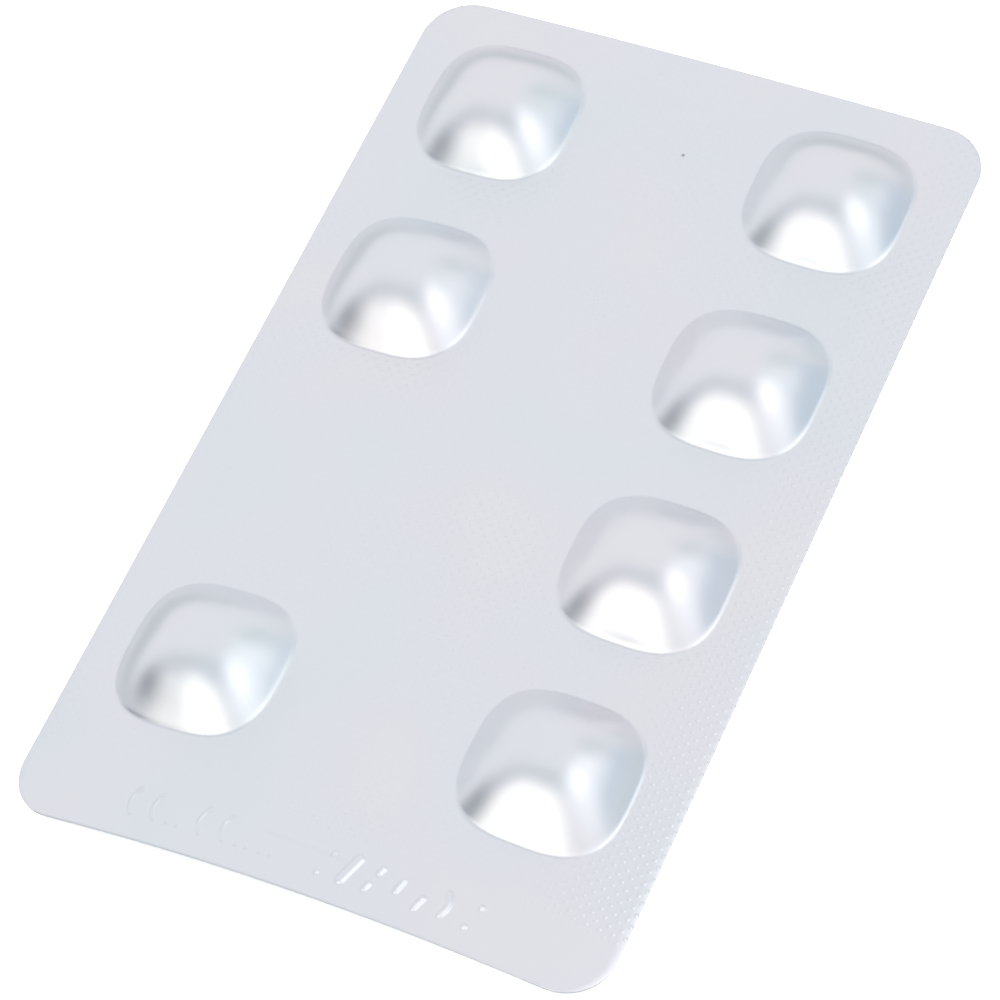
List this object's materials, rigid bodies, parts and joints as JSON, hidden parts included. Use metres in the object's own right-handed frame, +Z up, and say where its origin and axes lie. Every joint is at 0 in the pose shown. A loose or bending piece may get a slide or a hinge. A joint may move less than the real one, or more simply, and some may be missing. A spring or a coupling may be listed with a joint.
{
  "type": "pill blister pack",
  "caption": "Sealed foil blister card, gently arched across its width, with domed round-cornered pockets in a grid that has a blank place, and a wide margin at its marked end.",
  "frame": {"origin": "middle of the card on the surface it lies on, midway between its two long edges and its two ends", "axes": "+Z up, out of the domed pockets; +Y along the card, away from the end with the wide margin; +X across the card, towards the full column of pockets"},
  "size_m": [0.06, 0.099, 0.0064],
  "materials": {
    "aluminium_foil": "satin cold-formed foil"
  },
  "bodies": {
    "root": {"blister_pack": "aluminium_foil"}
  },
  "joints": []
}
